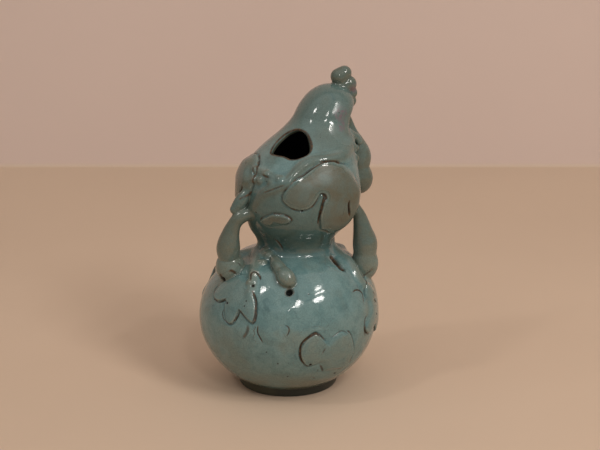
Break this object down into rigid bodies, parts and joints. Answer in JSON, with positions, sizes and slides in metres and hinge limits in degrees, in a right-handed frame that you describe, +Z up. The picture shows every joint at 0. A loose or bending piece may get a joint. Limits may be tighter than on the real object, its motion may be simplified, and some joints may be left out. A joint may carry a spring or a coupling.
{
  "type": "double gourd vase",
  "caption": "Hollow double gourd vase with a leaning closed top, a torn mouth in its shoulder, and applied vines, leaves, small hanging gourds and a stem.",
  "frame": {"origin": "centre of the bounding box's base, on the plane that the foot ring stands on", "axes": "+Z up, the mouth and the front small gourd face -Y, and the closed top leans over to +X"},
  "size_m": [0.0886, 0.0888, 0.1568],
  "materials": {
    "turquoise_glaze": "glossy, finely crazed turquoise glaze, brown where it breaks thin"
  },
  "bodies": {
    "root": {"double_gourd_vase": "turquoise_glaze"}
  },
  "joints": []
}
